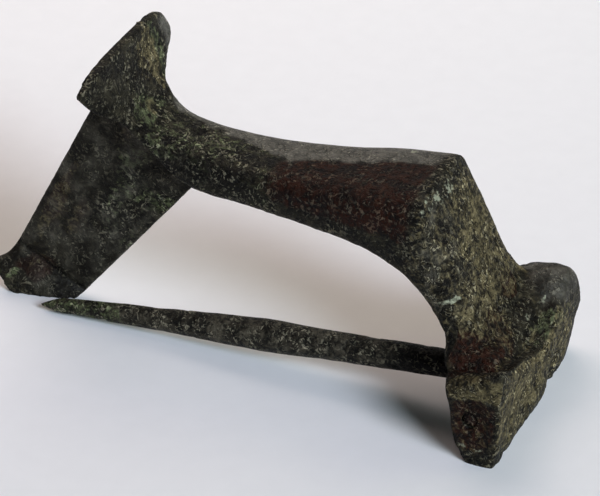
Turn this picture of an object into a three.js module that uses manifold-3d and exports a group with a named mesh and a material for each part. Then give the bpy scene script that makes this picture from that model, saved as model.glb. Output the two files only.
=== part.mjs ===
// A Roman knee brooch (fibula) of cast bronze, standing on its head and its catch.
// Millimetres, +Z up. +X runs from the flared foot to the hinged head, Y across the brooch.
// The origin is on the floor, midway along the brooch, in its plane of symmetry.
import * as THREE from "three";
import { mergeVertices } from "three/addons/utils/BufferGeometryUtils.js";
import Module from "manifold-3d";

// ---- Driving dimensions -------------------------------------------------------------------

// Everything below is laid out from the toe of the head, where its outer face meets the floor.
const HEAD_TOE_X = 17.4;

// Stations along the bow, from the lip of the foot to the head: the upper surface and the
// underside in the plane of symmetry as [x, z], and half of the width there.
const BOW_STATIONS = {
  footLip: { upper: [-26.2, 18.1], under: [-26.85, 18.0], half: 6.05 },
  footFlare: { upper: [-25.75, 17.0], under: [-26.3, 16.7], half: 5.0 },
  footRoot: { upper: [-25.0, 15.3], under: [-25.4, 14.9], half: 3.0 },
  neck: { upper: [-23.75, 14.3], under: [-23.85, 12.95], half: 2.5 },
  waist: { upper: [-21.8, 13.8], under: [-21.6, 11.1], half: 2.4 },
  spring: { upper: [-18.2, 13.45], under: [-18.2, 10.65], half: 2.6 },
  crown: { upper: [-13.0, 13.7], under: [-13.4, 10.45], half: 3.15 },
  aboveKnee: { upper: [-9.5, 14.15], under: [-9.6, 10.15], half: 3.65 },
  knee: { upper: [-6.25, 14.2], under: [-6.9, 9.25], half: 4.0 },
  shin: { upper: [-4.55, 10.9], under: [-5.3, 7.6], half: 4.0 },
  ankle: { upper: [-2.8, 7.3], under: [-4.5, 5.9], half: 4.3 },
  heel: { upper: [-1.3, 5.1], under: [-3.95, 5.0], half: 5.9 },
  toe: { upper: [0.3, 4.0], under: [-1.6, 4.7], half: 5.6 },
};
const CREASE_STATION = "knee"; // the upper surface breaks sharply here, the underside does not
const FOOT_BULGE = 0.9; // the lip of the foot is an arc, this much higher in its middle
const FOOT_CORNER_WEAR = 0.4; // and its +Y corner is worn down by this much
const BOW_STEPS = 4; // lofted rings between two stations
const BOW_SIDES = 24; // points round a ring
const BOW_SQUARENESS = 3.2; // 2 is an ellipse, more is a squarer section

// The catch plate is a trapezoid that hangs from the foot: its outer and inner edge, top to bottom.
const PLATE_OUTER = { top: [-26.8, 17.6], bottom: [-35.6, 0] };
const PLATE_INNER = { top: [-20.6, 11.8], bottom: [-30.2, 0] };
const PLATE_SAG = 2.0; // its top edge hangs by this much, inside the curve of the foot
const PLATE_Y = 0.2; // the middle of its thickness
const PLATE_THICKNESS = 1.0;
const PLATE_STEPS = 14;
const LIP_STARTS = 0.84; // share of the plate's height at which it turns out to hold the pin
const LIP_REACH = 0.4; // how far the lip leans out, towards -Y

// The head is a bar across the brooch with an ear at each end and a saddle between them.
const HEAD_HALF_WIDTH = 7.25;
// The ears at its -Y and +Y ends. peak: how far out, as a share of the half width, the ear is
// at its highest. worn: the radius to which the corners of that end are worn round.
const EARS = {
  minusY: { peak: 1.0, worn: 0.5 },
  plusY: { peak: 0.72, worn: 3.3 },
};
const EAR_WEAR = 1.8; // the ears' tops are worn this many times as much as the rest of the end
const HEAD_STEPS = 24;
const HEAD_SECTION = {
  rearTop: [-3.45, 5.5],
  earTop: [0.9, 7.4],
  frontToe: [0.3, -0.3],
  rearToe: [-1.6, -0.3],
};
const SADDLE_HEIGHT = 4.0; // height of the outer edge midway between the ears
const SADDLE_SOFTNESS = 0.12; // rounds the bottom of the dip, as a share of the half width
const REAR_RISE = 0.8; // the rear edge is this much higher there than at the ears
const HEAD_CORNER = 0.4; // share of a corner's sides taken by its rounding

// The hinge: an iron bar through the head, and the pin that turns on it in a slot.
const AXIS_X = -1.3;
const AXIS_Z = 2.95;
const AXIS_RADIUS = 0.45;
const AXIS_RECESS = 0.45; // the bar's ends lie this far inside the ends of the head
const HINGE_GAP = 0.3;
const KNUCKLE_RADIUS = 1.2;
const KNUCKLE_WIDTH = 2.2;
const SLOT_REACH = 7; // the slot's cutter runs this far out behind the hinge
const PIN_HINGE_Y = -1.6;
const PIN_TIP = [-31.3, -2.1, 0.5];
const PIN_START = 0.85; // the shank grows out of its knuckle this far from the axis
const PIN_ROOT_LENGTH = 1.2;
const PIN_RADII = { root: 0.8, thick: 1.05, thin: 0.62, point: 0.15 };
const PIN_POINT_LENGTH = 3.2;
const PIN_STEPS = 16;
const ROUND_SIDES = 20;

// ---- Materials ----------------------------------------------------------------------------

const bronze = new THREE.MeshStandardMaterial({ color: 0x4d473a, roughness: 0.62, metalness: 0.45 });
const rust = new THREE.MeshStandardMaterial({ color: 0x5c3423, roughness: 0.9, metalness: 0.2 });
const pinBronze = new THREE.MeshStandardMaterial({ color: 0x4a4f45, roughness: 0.7, metalness: 0.4 });

// ---- Helpers ------------------------------------------------------------------------------

const lerp = THREE.MathUtils.lerp;
const signedPower = (v, p) => Math.sign(v) * Math.abs(v) ** p;

const wasm = await Module();
wasm.setup();

// A three.js geometry as a solid that can be joined and cut.
function solidFrom(geometry) {
  const bare = geometry.clone();
  bare.deleteAttribute("normal");
  bare.deleteAttribute("uv");
  const merged = mergeVertices(bare, 1e-4);
  return new wasm.Manifold(
    new wasm.Mesh({
      numProp: 3,
      vertProperties: new Float32Array(merged.attributes.position.array),
      triVerts: new Uint32Array(merged.index.array),
    }),
  );
}

// The other way round: a solid as a geometry with flat normals.
function geometryFrom(solid) {
  const { vertProperties, triVerts } = solid.getMesh();
  const indexed = new THREE.BufferGeometry();
  indexed.setAttribute("position", new THREE.BufferAttribute(vertProperties, 3));
  indexed.setIndex(new THREE.BufferAttribute(triVerts, 1));
  const flat = indexed.toNonIndexed();
  flat.computeVertexNormals();
  return flat;
}

// A closed skin over rings of equal length, each an even number of Vector3. Seen from ahead,
// looking back along the rings, their points run anticlockwise. Rungs across the first and the
// last ring, from each point to the one opposite, close it.
function loft(rings) {
  const sides = rings[0].length;
  const end = (rings.length - 1) * sides;
  const index = [];
  const face = (...corners) => {
    if (new Set(corners).size === corners.length) index.push(...corners);
  };
  for (let s = 0; s < sides; s++)
    for (let r = 0; r < end; r += sides) {
      const [a, b] = [r + s, r + ((s + 1) % sides)];
      face(a, b, b + sides);
      face(a, b + sides, a + sides);
    }
  for (let s = 0; s < sides / 2; s++) {
    const [a, b, c, d] = [s, s + 1, sides - s - 1, (sides - s) % sides];
    face(a, c, b);
    face(a, d, c);
    face(end + a, end + b, end + c);
    face(end + a, end + c, end + d);
  }
  const geometry = new THREE.BufferGeometry().setFromPoints(rings.flat());
  geometry.setIndex(index);
  return geometry;
}

// A cylinder along Y, centred on the hinge.
function hingeCylinder(radius, width, y) {
  const geometry = new THREE.CylinderGeometry(radius, radius, width, ROUND_SIDES);
  return solidFrom(geometry.translate(AXIS_X, y, AXIS_Z));
}

// ---- The brooch, cast in one: bow with its foot, catch plate and head ------------------------

// How much higher than its corners the lip of the foot stands, across its width from -1 to 1.
function footArc(across) {
  return FOOT_BULGE * (1 - across ** 2) - FOOT_CORNER_WEAR * Math.max(0, across) ** 6;
}

// The bow is lofted through its stations. Each ring is a superellipse between the two surfaces.
function makeBow() {
  const names = Object.keys(BOW_STATIONS);
  const crease = names.indexOf(CREASE_STATION);
  const stations = Object.values(BOW_STATIONS);
  const vector = ([x, z], half) => new THREE.Vector3(x, half, z);
  const uppers = stations.map((s) => vector(s.upper, s.half));
  const before = new THREE.CatmullRomCurve3(uppers.slice(0, crease + 1));
  const after = new THREE.CatmullRomCurve3(uppers.slice(crease));
  const under = new THREE.CatmullRomCurve3(stations.map((s) => vector(s.under, s.half)));
  const last = stations.length - 1;
  const rings = [];
  for (let step = 0; step <= last * BOW_STEPS; step++) {
    const at = step / BOW_STEPS;
    const top =
      at <= crease
        ? before.getPoint(at / crease)
        : after.getPoint((at - crease) / (last - crease));
    const bottom = under.getPoint(at / last);
    const ring = [];
    for (let s = 0; s < BOW_SIDES; s++) {
      const angle = (s / BOW_SIDES) * 2 * Math.PI;
      const across = signedPower(Math.cos(angle), 2 / BOW_SQUARENESS);
      const up = (1 + signedPower(Math.sin(angle), 2 / BOW_SQUARENESS)) / 2;
      const point = bottom.clone().lerp(top, up).setY(top.y * across);
      ring.push(point.setZ(point.z + footArc(across) * Math.max(0, 1 - at) ** 2));
    }
    rings.push(ring);
  }
  return solidFrom(loft(rings));
}

// The catch plate hangs from under the foot, and its lower end leans out as a lip.
function makeCatchPlate() {
  // From the outer edge to the inner one and back: share of the width, share of the thickness.
  const side = [0, 0.03, 0.25, 0.5, 0.75, 0.97, 1];
  const rim = side.map((across) => (across === 0 || across === 1 ? 0.5 : 1));
  const outline = [
    ...side.map((across, i) => [across, rim[i]]),
    ...side.map((across, i) => [across, -rim[i]]).reverse(),
  ];
  const rings = [];
  for (let step = 0; step <= PLATE_STEPS; step++) {
    const down = step / PLATE_STEPS;
    const curl = Math.max(0, (down - LIP_STARTS) / (1 - LIP_STARTS));
    const y = PLATE_Y - LIP_REACH * curl ** 1.5;
    const half = (PLATE_THICKNESS / 2) * (step < PLATE_STEPS ? 1 : 0.5);
    const [outer, inner] = [PLATE_OUTER, PLATE_INNER].map(({ top, bottom }) => [
      lerp(top[0], bottom[0], down),
      lerp(top[1], bottom[1], down),
    ]);
    rings.push(
      outline.map(([across, thick]) => {
        const sag = PLATE_SAG * 4 * across * (1 - across) * (1 - down) ** 4;
        const x = lerp(outer[0], inner[0], across);
        return new THREE.Vector3(x, y + thick * half, lerp(outer[1], inner[1], across) - sag);
      }),
    );
  }
  return solidFrom(loft(rings));
}

// How far an end of the head is worn away, at a share of the way out to it: a quarter circle.
function endWear(radius, share) {
  const into = Math.max(0, 1 - ((1 - share) * HEAD_HALF_WIDTH) / radius);
  return radius * (1 - Math.sqrt(1 - Math.min(into, 0.97) ** 2));
}

// Height of the outer edge at a share of the way out to an ear: a soft V between the ears.
function outerEdge(peak, share) {
  const climb = (v) => Math.hypot(v, SADDLE_SOFTNESS) - SADDLE_SOFTNESS;
  return lerp(SADDLE_HEIGHT, HEAD_SECTION.earTop[1], Math.min(1, climb(share) / climb(peak)));
}

// The head's section changes along its width: the outer edge dips from the ears to the saddle.
function makeHead() {
  const { rearTop, earTop, frontToe, rearToe } = HEAD_SECTION;
  const rings = [];
  for (let step = 0; step <= HEAD_STEPS; step++) {
    const across = Math.sin((step / HEAD_STEPS - 0.5) * Math.PI);
    const { peak, worn } = across < 0 ? EARS.minusY : EARS.plusY;
    const share = Math.abs(across);
    const wear = endWear(worn, share);
    const corners = [
      [rearTop[0] + wear / 3, rearTop[1] + REAR_RISE * (1 - across ** 2) - wear / 2],
      [earTop[0] - wear / 6, outerEdge(peak, share) - EAR_WEAR * wear],
      [frontToe[0] - wear / 6, frontToe[1] + wear],
      [rearToe[0] + wear / 3, rearToe[1] + wear / 2],
    ];
    const outline = new THREE.Shape();
    corners.forEach((corner, i) => {
      const toward = (other) => corner.map((v, k) => lerp(v, other[k], HEAD_CORNER / 2));
      const enter = toward(corners[(i + 3) % 4]);
      const leave = toward(corners[(i + 1) % 4]);
      if (i === 0) outline.moveTo(...enter);
      else outline.lineTo(...enter);
      outline.quadraticCurveTo(...corner, ...leave);
    });
    rings.push(outline.getPoints(4).map((p) => new THREE.Vector3(p.x, HEAD_HALF_WIDTH * across, p.y)));
  }
  return solidFrom(loft(rings));
}

// The slot that the pin's knuckle turns in: round above and ahead, open behind and below.
function makeSlot() {
  const radius = KNUCKLE_RADIUS + HINGE_GAP;
  const width = KNUCKLE_WIDTH + 2 * HINGE_GAP;
  const outline = new THREE.Shape([
    new THREE.Vector2(AXIS_X, AXIS_Z + radius),
    new THREE.Vector2(AXIS_X - SLOT_REACH, AXIS_Z + radius),
    new THREE.Vector2(AXIS_X - SLOT_REACH, -1),
    new THREE.Vector2(AXIS_X + HINGE_GAP, -1),
    new THREE.Vector2(AXIS_X + radius, AXIS_Z),
  ]);
  const wedge = new THREE.ExtrudeGeometry(outline, { depth: width, bevelEnabled: false });
  wedge.rotateX(Math.PI / 2).translate(0, PIN_HINGE_Y + width / 2, 0);
  return solidFrom(wedge).add(hingeCylinder(radius, width, PIN_HINGE_Y));
}

// The brooch in one piece, bored for its hinge and levelled underneath where it stands.
function makeBrooch() {
  const bore = hingeCylinder(AXIS_RADIUS + HINGE_GAP, 4 * HEAD_HALF_WIDTH, 0);
  const belowFloor = new THREE.BoxGeometry(100, 100, 10).translate(0, 0, -5);
  return wasm.Manifold.union([makeBow(), makeCatchPlate(), makeHead()])
    .subtract(makeSlot())
    .subtract(bore)
    .subtract(solidFrom(belowFloor));
}

// ---- The hinge ------------------------------------------------------------------------------

// The iron bar, a little shorter than the head is wide.
function makeAxisBar() {
  return hingeCylinder(AXIS_RADIUS, 2 * (HEAD_HALF_WIDTH - AXIS_RECESS), 0);
}

// The pin: a knuckle bored for the bar, and a straight shank that thins towards its point.
function makePin() {
  const axis = new THREE.Vector3(AXIS_X, PIN_HINGE_Y, AXIS_Z);
  const along = new THREE.Vector3(...PIN_TIP).sub(axis);
  const length = along.length();
  along.normalize();
  const side = new THREE.Vector3(0, 0, 1).cross(along).normalize();
  const up = along.clone().cross(side);
  const { root, thick, thin, point } = PIN_RADII;
  const profile = [[PIN_START, root]];
  const [from, to] = [PIN_START + PIN_ROOT_LENGTH, length - PIN_POINT_LENGTH];
  for (let step = 0; step <= PIN_STEPS; step++) {
    const share = step / PIN_STEPS;
    profile.push([lerp(from, to, share), lerp(thick, thin, share)]);
  }
  profile.push([length - PIN_POINT_LENGTH / 3, lerp(thin, point, 0.5)], [length, point]);
  const rings = profile.map(([reach, radius]) =>
    Array.from({ length: ROUND_SIDES }, (_, s) => {
      const angle = (s / ROUND_SIDES) * 2 * Math.PI;
      return axis
        .clone()
        .addScaledVector(along, reach)
        .addScaledVector(side, radius * Math.cos(angle))
        .addScaledVector(up, radius * Math.sin(angle));
    }),
  );
  const bore = hingeCylinder(AXIS_RADIUS + HINGE_GAP, 2 * KNUCKLE_WIDTH, PIN_HINGE_Y);
  return solidFrom(loft(rings))
    .add(hingeCylinder(KNUCKLE_RADIUS, KNUCKLE_WIDTH, PIN_HINGE_Y))
    .subtract(bore);
}

// ---- The scene ------------------------------------------------------------------------------

const group = new THREE.Group();
group.name = "knee_brooch";
const fromToe = new THREE.Group();
fromToe.position.x = HEAD_TOE_X;
group.add(fromToe);

for (const [name, solid, material] of [
  ["brooch_body", makeBrooch(), bronze],
  ["hinge_axis", makeAxisBar(), rust],
  ["pin", makePin(), pinBronze],
]) {
  const mesh = new THREE.Mesh(geometryFrom(solid), material);
  mesh.name = name;
  fromToe.add(mesh);
}

export default group;
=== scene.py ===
"""A Roman knee brooch of cast bronze, with its hinged pin and the iron bar the pin turns on.

Shapes are worked out in millimetres from the toe of the head, where the outer face of the head
meets the floor: +X points out of the head, away from the foot, and Z is up. They are moved to
the frame's own origin and turned into metres when a mesh is made.
"""

import logging
import math
from dataclasses import dataclass, field
from enum import Enum
from typing import Iterable, Sequence

import bpy
import numpy as np
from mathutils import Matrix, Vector


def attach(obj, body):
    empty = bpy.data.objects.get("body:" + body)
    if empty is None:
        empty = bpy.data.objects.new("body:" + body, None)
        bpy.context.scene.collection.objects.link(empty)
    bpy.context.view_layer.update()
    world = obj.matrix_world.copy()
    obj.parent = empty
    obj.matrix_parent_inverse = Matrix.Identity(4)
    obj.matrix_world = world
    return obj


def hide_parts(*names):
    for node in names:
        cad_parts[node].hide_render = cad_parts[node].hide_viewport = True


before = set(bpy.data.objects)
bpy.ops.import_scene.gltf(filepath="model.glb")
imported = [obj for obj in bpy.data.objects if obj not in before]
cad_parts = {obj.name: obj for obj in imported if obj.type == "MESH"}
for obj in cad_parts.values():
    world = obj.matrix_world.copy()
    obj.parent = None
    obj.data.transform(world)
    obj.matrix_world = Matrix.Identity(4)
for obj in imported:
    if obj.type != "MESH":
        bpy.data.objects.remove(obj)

Array = np.ndarray
Point = tuple[float, float, float]
LOG = logging.getLogger("brooch")
MM = 0.001
TOE = np.array([17.4, 0.0, 0.0])  # where the toe of the head lies in the frame, in millimetres


# ---- Shared mathematics -------------------------------------------------------------------


def step(low: float, high: float, value: Array) -> Array:
    """A soft step: 0 at low, 1 at high, with level ends (3t^2 - 2t^3). low may lie above high.

    Args:
        low: where the step is 0.
        high: where the step is 1.
        value: the numbers to step.

    Returns:
        Numbers from 0 to 1.
    """
    t = np.clip((value - low) / (high - low), 0.0, 1.0)
    return t * t * (3.0 - 2.0 * t)


def signed_power(value: Array, power: Array | float) -> Array:
    """The size of value raised to power, with the sign that value had."""
    return np.sign(value) * np.abs(value) ** power


def curve_through(points: Sequence[Sequence[float]], at: Array) -> Array:
    """A centripetal Catmull-Rom curve through the points.

    Each span is a cubic whose end slopes come from its neighbours, weighed by the square root
    of the distances between the points. Past its ends the curve is carried on straight.

    Args:
        points: the points, each a list of coordinates.
        at: places along the curve, 0 at the first point and 1 at the last.

    Returns:
        One row of coordinates for each place.
    """
    p = np.asarray(points, dtype=float)
    p = np.vstack([2 * p[0] - p[1], p, 2 * p[-1] - p[-2]])
    spans = len(p) - 3
    span = np.clip(np.floor(at * spans).astype(int), 0, spans - 1)
    t = (at * spans - span)[:, None]
    p0, p1, p2, p3 = (p[span + k] for k in range(4))
    d0, d1, d2 = (
        np.sqrt(np.linalg.norm(b - a, axis=1, keepdims=True)) for a, b in ((p0, p1), (p1, p2), (p2, p3))
    )
    m1 = ((p1 - p0) / d0 - (p2 - p0) / (d0 + d1) + (p2 - p1) / d1) * d1
    m2 = ((p2 - p1) / d1 - (p3 - p1) / (d1 + d2) + (p3 - p2) / d2) * d1
    t2, t3 = t * t, t * t * t
    return (2 * t3 - 3 * t2 + 1) * p1 + (t3 - 2 * t2 + t) * m1 + (3 * t2 - 2 * t3) * p2 + (t3 - t2) * m2


@dataclass(frozen=True)
class Grain:
    """Repeatable unevenness in space: the same at every run.

    Attributes:
        seed: which of many such grains this is.
    """

    seed: int

    def lattice(self, cells: Array) -> Array:
        """A number from 0 to 1 for each cell of a cubic lattice, mixed from its whole-numbered place.

        Args:
            cells: whole-numbered places, along the last axis.

        Returns:
            One number for each cell.
        """
        k = cells.astype(np.int64).astype(np.uint64)
        h = k[..., 0] * np.uint64(374761393) + k[..., 1] * np.uint64(668265263)
        h = h + k[..., 2] * np.uint64(2246822519) + np.uint64(self.seed * 3266489917)
        low = np.uint64(0xFFFFFFFF)
        h = h & low
        h = ((h ^ (h >> np.uint64(15))) * np.uint64(2246822519)) & low
        h = ((h ^ (h >> np.uint64(13))) * np.uint64(3266489917)) & low
        return (h ^ (h >> np.uint64(16))) / 4294967295.0

    def value(self, points: Array, size: float) -> Array:
        """Smooth unevenness: the lattice numbers blended over each cell by soft steps.

        Args:
            points: where to read it, one row each.
            size: the side of a cell, in the points' unit.

        Returns:
            Numbers from -1 to 1.
        """
        q = points / size
        base = np.floor(q)
        f = q - base
        f = f * f * (3.0 - 2.0 * f)
        corner = np.array([[i, j, k] for i in (0, 1) for j in (0, 1) for k in (0, 1)], dtype=float)
        weight = np.prod(np.where(corner[None] > 0, f[:, None], 1.0 - f[:, None]), axis=2)
        return 2.0 * np.sum(weight * self.lattice(base[:, None] + corner[None]), axis=1) - 1.0

    def fractal(self, points: Array, size: float, octaves: int = 4) -> Array:
        """Layers of smooth unevenness, each half the size and half the height of the one before.

        Args:
            points: where to read it, one row each.
            size: the side of the largest layer's cells.
            octaves: how many layers there are.

        Returns:
            Numbers from -1 to 1.
        """
        total = np.zeros(len(points))
        for level in range(octaves):
            turned = points[:, [1, 2, 0]] if level % 2 else points
            total += Grain(self.seed + 17 * level).value(turned, size / 2**level) / 2**level
        return total / (2.0 - 2.0 ** (1 - octaves))

    def pits(self, points: Array, size: float, share: float) -> Array:
        """Round hollows scattered one to a cell: each is deepest in its middle.

        Each cell holds one middle, shifted at random, and a hollow's depth falls off as
        1 - (distance / radius)^2, where the radius is drawn from a quarter to a half of a cell.

        Args:
            points: where to read it, one row each.
            size: the side of a cell.
            share: how many of the cells hold a hollow, from 0 to 1.

        Returns:
            Depths from 0 to 1.
        """
        base = np.floor(points / size)
        deepest = np.zeros(len(points))
        for i in (-1, 0, 1):
            for j in (-1, 0, 1):
                for k in (-1, 0, 1):
                    cell = base + np.array([i, j, k])
                    shift = np.stack([Grain(self.seed + s).lattice(cell) for s in (1, 2, 3)], axis=1)
                    radius = size * (0.25 + 0.27 * Grain(self.seed + 4).lattice(cell))
                    there = Grain(self.seed + 5).lattice(cell) < share
                    away = np.linalg.norm(points - (cell + shift) * size, axis=1) / radius
                    deepest = np.maximum(deepest, np.where(there, 1.0 - away**2, 0.0))
        return deepest


# ---- Meshes -------------------------------------------------------------------------------


@dataclass
class Skin:
    """A closed surface in millimetres.

    Attributes:
        points: its vertices, one row each.
        quads: its four-cornered faces, turned outward.
        triangles: its three-cornered faces, turned outward.
    """

    points: Array
    quads: Array
    triangles: Array = field(default_factory=lambda: np.zeros((0, 3), dtype=int))

    @classmethod
    def lofted(cls, rings: Array) -> "Skin":
        """A skin over rings of equal length, closed by rungs across the first and the last.

        Seen from ahead, looking back along the rings, their points run anticlockwise. A rung
        joins each point of an end ring to the point opposite it, as far from the ring's start
        the other way round.

        Args:
            rings: points by ring, by place round the ring.

        Returns:
            The closed skin.
        """
        count, sides, _ = rings.shape
        row, col = np.meshgrid(np.arange(count - 1), np.arange(sides), indexing="ij")
        a, b = row * sides + col, row * sides + (col + 1) % sides
        quads = np.stack([a, b, b + sides, a + sides], axis=-1).reshape(-1, 4)
        s = np.arange(sides // 2)
        a, b, c, d = s, s + 1, sides - s - 1, (sides - s) % sides
        rungs = np.vstack([np.stack([a, c, b], axis=1), np.stack([a, d, c], axis=1)])
        rungs = rungs[(rungs[:, 0] != rungs[:, 1]) & (rungs[:, 1] != rungs[:, 2])]
        caps = np.vstack([rungs, rungs[:, ::-1] + (count - 1) * sides])
        return cls(rings.reshape(-1, 3), quads, caps)

    @classmethod
    def hooped(cls, rings: Array) -> "Skin":
        """A skin over rings that close on themselves, such as a collar: the last ring meets the first.

        Args:
            rings: points by ring, by place round the ring.

        Returns:
            The closed skin.
        """
        count, sides, _ = rings.shape
        row, col = np.meshgrid(np.arange(count), np.arange(sides), indexing="ij")
        a, b = row * sides + col, row * sides + (col + 1) % sides
        ahead = lambda index: (index + sides) % (count * sides)
        return cls(rings.reshape(-1, 3), np.stack([a, b, ahead(b), ahead(a)], axis=-1).reshape(-1, 4))

    @classmethod
    def of_mesh(cls, mesh: bpy.types.Mesh) -> "Skin":
        """The skin that a Blender mesh of four-cornered and three-cornered faces holds.

        Args:
            mesh: the mesh to read.

        Returns:
            The same surface as a skin.
        """
        points = np.empty(len(mesh.vertices) * 3)
        mesh.vertices.foreach_get("co", points)
        starts = np.empty(len(mesh.polygons), dtype=int)
        totals = np.empty(len(mesh.polygons), dtype=int)
        corners = np.empty(len(mesh.loops), dtype=int)
        mesh.polygons.foreach_get("loop_start", starts)
        mesh.polygons.foreach_get("loop_total", totals)
        mesh.loops.foreach_get("vertex_index", corners)
        quads, triangles = (corners[starts[totals == k][:, None] + np.arange(k)] for k in (4, 3))
        return cls(points.reshape(-1, 3), quads, triangles)

    def mesh(self, name: str, scale: float = 1.0) -> bpy.types.Mesh:
        """This skin as a Blender mesh, every length multiplied by scale.

        Args:
            name: the mesh's name.
            scale: what one unit of the skin becomes.

        Returns:
            The new mesh.
        """
        made = bpy.data.meshes.new(name)
        made.from_pydata((self.points * scale).tolist(), [], self.quads.tolist() + self.triangles.tolist())
        made.update()
        return made

    def normals(self) -> Array:
        """The outward direction at each vertex: its faces' cross products summed and brought to length 1.

        Returns:
            One row for each vertex.
        """
        total = np.zeros_like(self.points)
        for faces in (self.quads, self.triangles):
            if len(faces):
                corner = self.points[faces]
                across = np.cross(corner[:, 2] - corner[:, 0], corner[:, -1] - corner[:, 1])
                for k in range(faces.shape[1]):
                    for axis in range(3):
                        total[:, axis] += np.bincount(faces[:, k], across[:, axis], len(total))
        return total / np.maximum(np.linalg.norm(total, axis=1, keepdims=True), 1e-12)

    def relaxed(self, rounds: int, keep: Array | float = 0.0) -> "Skin":
        """The same skin with each vertex drawn halfway to the mean of its neighbours, several times.

        Args:
            rounds: how many times.
            keep: how far each vertex holds its place, from 0 to 1.

        Returns:
            The smoother skin.
        """
        ends = (np.stack([f, np.roll(f, -1, axis=1)], axis=-1) for f in (self.quads, self.triangles))
        edges = np.vstack([each.reshape(-1, 2) for each in ends])
        count = np.maximum(np.bincount(edges[:, 0], minlength=len(self.points)), 1)
        points = self.points.copy()
        pull = 0.5 * (1.0 - np.broadcast_to(keep, len(points)))[:, None]
        for _ in range(rounds):
            totals = [np.bincount(edges[:, 0], along[edges[:, 1]], len(points)) for along in points.T]
            points += pull * (np.stack(totals, axis=1) / count[:, None] - points)
        return Skin(points, self.quads, self.triangles)


def scratch_object(skin: Skin, name: str) -> bpy.types.Object:
    """A helper object that holds a skin at one unit a millimetre.

    Args:
        skin: the surface.
        name: the object's name.

    Returns:
        The object, linked to the scene.
    """
    made = bpy.data.objects.new(name, skin.mesh(name))
    bpy.context.scene.collection.objects.link(made)
    return made


def settled(made: bpy.types.Object) -> Skin:
    """The skin of a helper object with its modifiers worked in. The helper is taken away.

    Args:
        made: the helper object.

    Returns:
        The skin as its modifiers leave it.
    """
    seen = made.evaluated_get(bpy.context.evaluated_depsgraph_get())
    mesh = bpy.data.meshes.new_from_object(seen)
    skin = Skin.of_mesh(mesh)
    old = made.data
    bpy.data.objects.remove(made)
    bpy.data.meshes.remove(old)
    bpy.data.meshes.remove(mesh)
    return skin


def fused(forms: Sequence[Skin], cutters: Sequence[Skin], grain: float) -> Skin:
    """One skin round several overlapping forms, with the cutters taken out of each.

    Args:
        forms: the forms to join.
        cutters: the forms to take away.
        grain: the side of the new skin's faces.

    Returns:
        The joined skin.
    """
    tools = [scratch_object(cutter, "cutter") for cutter in cutters]
    parts: list[Skin] = []
    for form in forms:
        body = scratch_object(form, "form")
        for tool in tools:
            cut = body.modifiers.new("cut", "BOOLEAN")
            cut.operation, cut.solver, cut.object = "DIFFERENCE", "EXACT", tool
        seen = body.evaluated_get(bpy.context.evaluated_depsgraph_get())
        mesh = bpy.data.meshes.new_from_object(seen)
        triangulated = scratch_object(Skin.of_mesh(mesh), "part")
        triangulated.data = mesh
        split = triangulated.modifiers.new("split", "TRIANGULATE")
        split.min_vertices = 5
        parts.append(settled(triangulated))
        bpy.data.objects.remove(body)
    for tool in tools:
        bpy.data.objects.remove(tool)
    offsets = np.cumsum([0] + [len(part.points) for part in parts[:-1]])
    joined = Skin(
        np.vstack([part.points for part in parts]),
        np.vstack([part.quads + offset for part, offset in zip(parts, offsets)]),
        np.vstack([part.triangles + offset for part, offset in zip(parts, offsets)]),
    )
    whole = scratch_object(joined, "whole")
    skinning = whole.modifiers.new("skin", "REMESH")
    skinning.mode, skinning.voxel_size = "VOXEL", grain
    return settled(whole)


def finished_object(name: str, skin: Skin, marks: dict[str, Array], finish: "Patina") -> bpy.types.Object:
    """A piece of the brooch in its place in the frame, in metres, smooth shaded.

    Args:
        name: the piece's name.
        skin: its surface, in millimetres from the toe of the head.
        marks: numbers by vertex that its finish reads, under the names it reads them by.
        finish: what it is finished with.

    Returns:
        The new object, linked to the scene.
    """
    moved = Skin(skin.points + TOE, skin.quads, skin.triangles)
    mesh = moved.mesh(name, MM)
    mesh.shade_smooth()
    for mark, values in marks.items():
        layer = mesh.attributes.new(mark, "FLOAT", "POINT")
        layer.data.foreach_set("value", np.clip(values, 0.0, 1.0).astype(np.float32))
    mesh.materials.append(finish.material())
    made = bpy.data.objects.new(name, mesh)
    bpy.context.scene.collection.objects.link(made)
    return made


# ---- Patina -------------------------------------------------------------------------------


class Tone(Enum):
    """What the corroded surface shows at a place. The value is the name of the mark on the mesh."""

    RUB_AND_SHEEN = "rub"  # worn smooth and grey, and lighter there as a painted sheen
    CUPRITE = "cuprite"  # red-brown
    VERDIGRIS = "verdigris"  # green
    CRUST = "crust"  # pale, yellow-green
    DARK = "dark"  # black-brown, in hollows; also painted shade along the fold of the plate, on the bow's near side and on the pin under the head
    CHIP = "chip"  # whitish, where the patina has flaked
    SMOOTH = "smooth"  # its grain is calm, whatever its colour


@dataclass(frozen=True)
class Blotch:
    """A soft-edged region: an ellipsoid about a point, kept to the faces that look one way.

    Attributes:
        tone: what shows there.
        centre: its middle, in millimetres from the toe.
        reach: its half sizes along X, Y and Z.
        facing: the way its faces look, or all zeros for every way.
        strength: how strongly it shows, from 0 to 1.
        soft: the share of its size over which its edge fades.
    """

    tone: Tone
    centre: Point
    reach: Point
    facing: Point = (0.0, 0.0, 0.0)
    strength: float = 1.0
    soft: float = 0.4

    def cover(self, points: Array, normals: Array) -> Array:
        """How far the blotch covers each point: strength, fading out with the distance from its middle.

        Args:
            points: the vertices.
            normals: the outward direction at each.

        Returns:
            Numbers from 0 to the strength.
        """
        away = np.linalg.norm((points - self.centre) / self.reach, axis=1)
        cover = self.strength * step(1.0 + self.soft / 2, 1.0 - self.soft / 2, away)
        if any(self.facing):
            way = np.array(self.facing) / np.linalg.norm(self.facing)
            cover = cover * step(0.15, 0.6, normals @ way)
        return cover


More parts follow.
